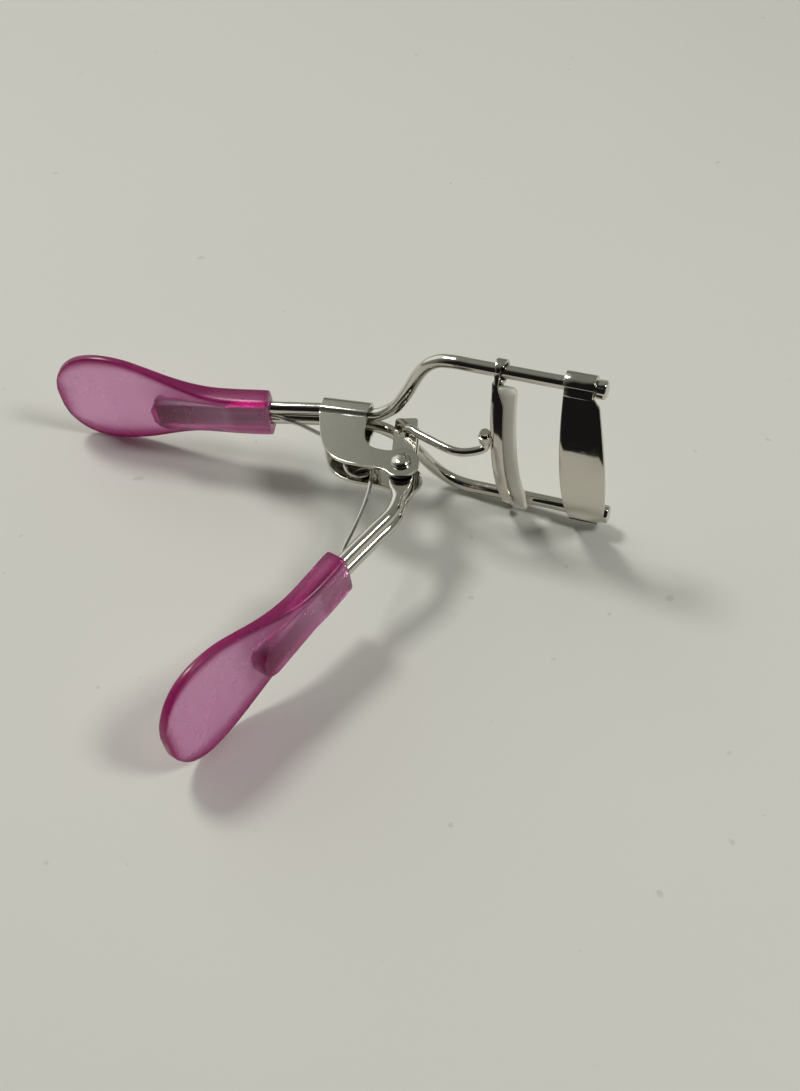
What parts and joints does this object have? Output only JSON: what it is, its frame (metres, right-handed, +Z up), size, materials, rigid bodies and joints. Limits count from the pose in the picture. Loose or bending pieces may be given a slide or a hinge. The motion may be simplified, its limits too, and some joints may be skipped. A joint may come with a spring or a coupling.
{
  "type": "eyelash curler",
  "caption": "Hand-held eyelash curler with plated wire frame, curved clamping jaw with a soft pad, wire spring and translucent pink paddle grips.",
  "frame": {"origin": "centre of the bounding box, on the surface the curler lies on", "axes": "+X along the length of the curler, from the fixed grip towards the fixed plate; +Y from the moving grip towards the guide rods; +Z up, about along the pivot axis"},
  "size_m": [0.1074, 0.0804, 0.0401],
  "materials": {
    "nickel_plate": "bright nickel-plated steel wire",
    "nickel_plate_sheet": "bright nickel-plated steel sheet",
    "spring_steel": "drawn spring wire",
    "pink_plastic": "translucent pink moulded plastic, satin gloss",
    "white_silicone": "soft white silicone"
  },
  "bodies": {
    "frame": {"frame_wire": "nickel_plate", "bracket": "nickel_plate_sheet", "pivot_rivet": "nickel_plate", "fixed_grip": "pink_plastic", "upper_plate": "nickel_plate_sheet", "ferrule_upper": "nickel_plate", "ferrule_lower": "nickel_plate", "spring": "spring_steel"},
    "lever": {"lever_wire": "nickel_plate", "moving_grip": "pink_plastic"},
    "jaw": {"jaw_channel": "nickel_plate_sheet", "jaw_pad": "white_silicone"},
    "link": {"link_wire": "nickel_plate"}
  },
  "joints": [
    {"name": "lever_pivot", "type": "hinge", "parent": "frame", "child": "lever", "pos_m": [0.01788, 0.02352, 0.01675], "axis": [0.0949, 0.0795, -0.9923], "range_deg": [0, 59.5], "stiffness_Nm_per_rad": 0.06, "deforming": ["spring"]},
    {"name": "jaw_slide", "type": "slide", "parent": "frame", "child": "jaw", "axis": [0.9955, 0, 0.0952], "range_m": [0, 0.00761]},
    {"name": "link_swing", "type": "hinge", "parent": "jaw", "child": "link", "pos_m": [0.03049, 0.0303, 0.02354], "axis": [-0.0949, -0.0795, 0.9923], "range_deg": [0, 7.25]}
  ],
  "couplings": [
    {"joint": "jaw_slide", "follows": "lever_pivot", "m_per_rad": 0.0073184},
    {"joint": "link_swing", "follows": "lever_pivot", "ratio": 0.12086}
  ]
}
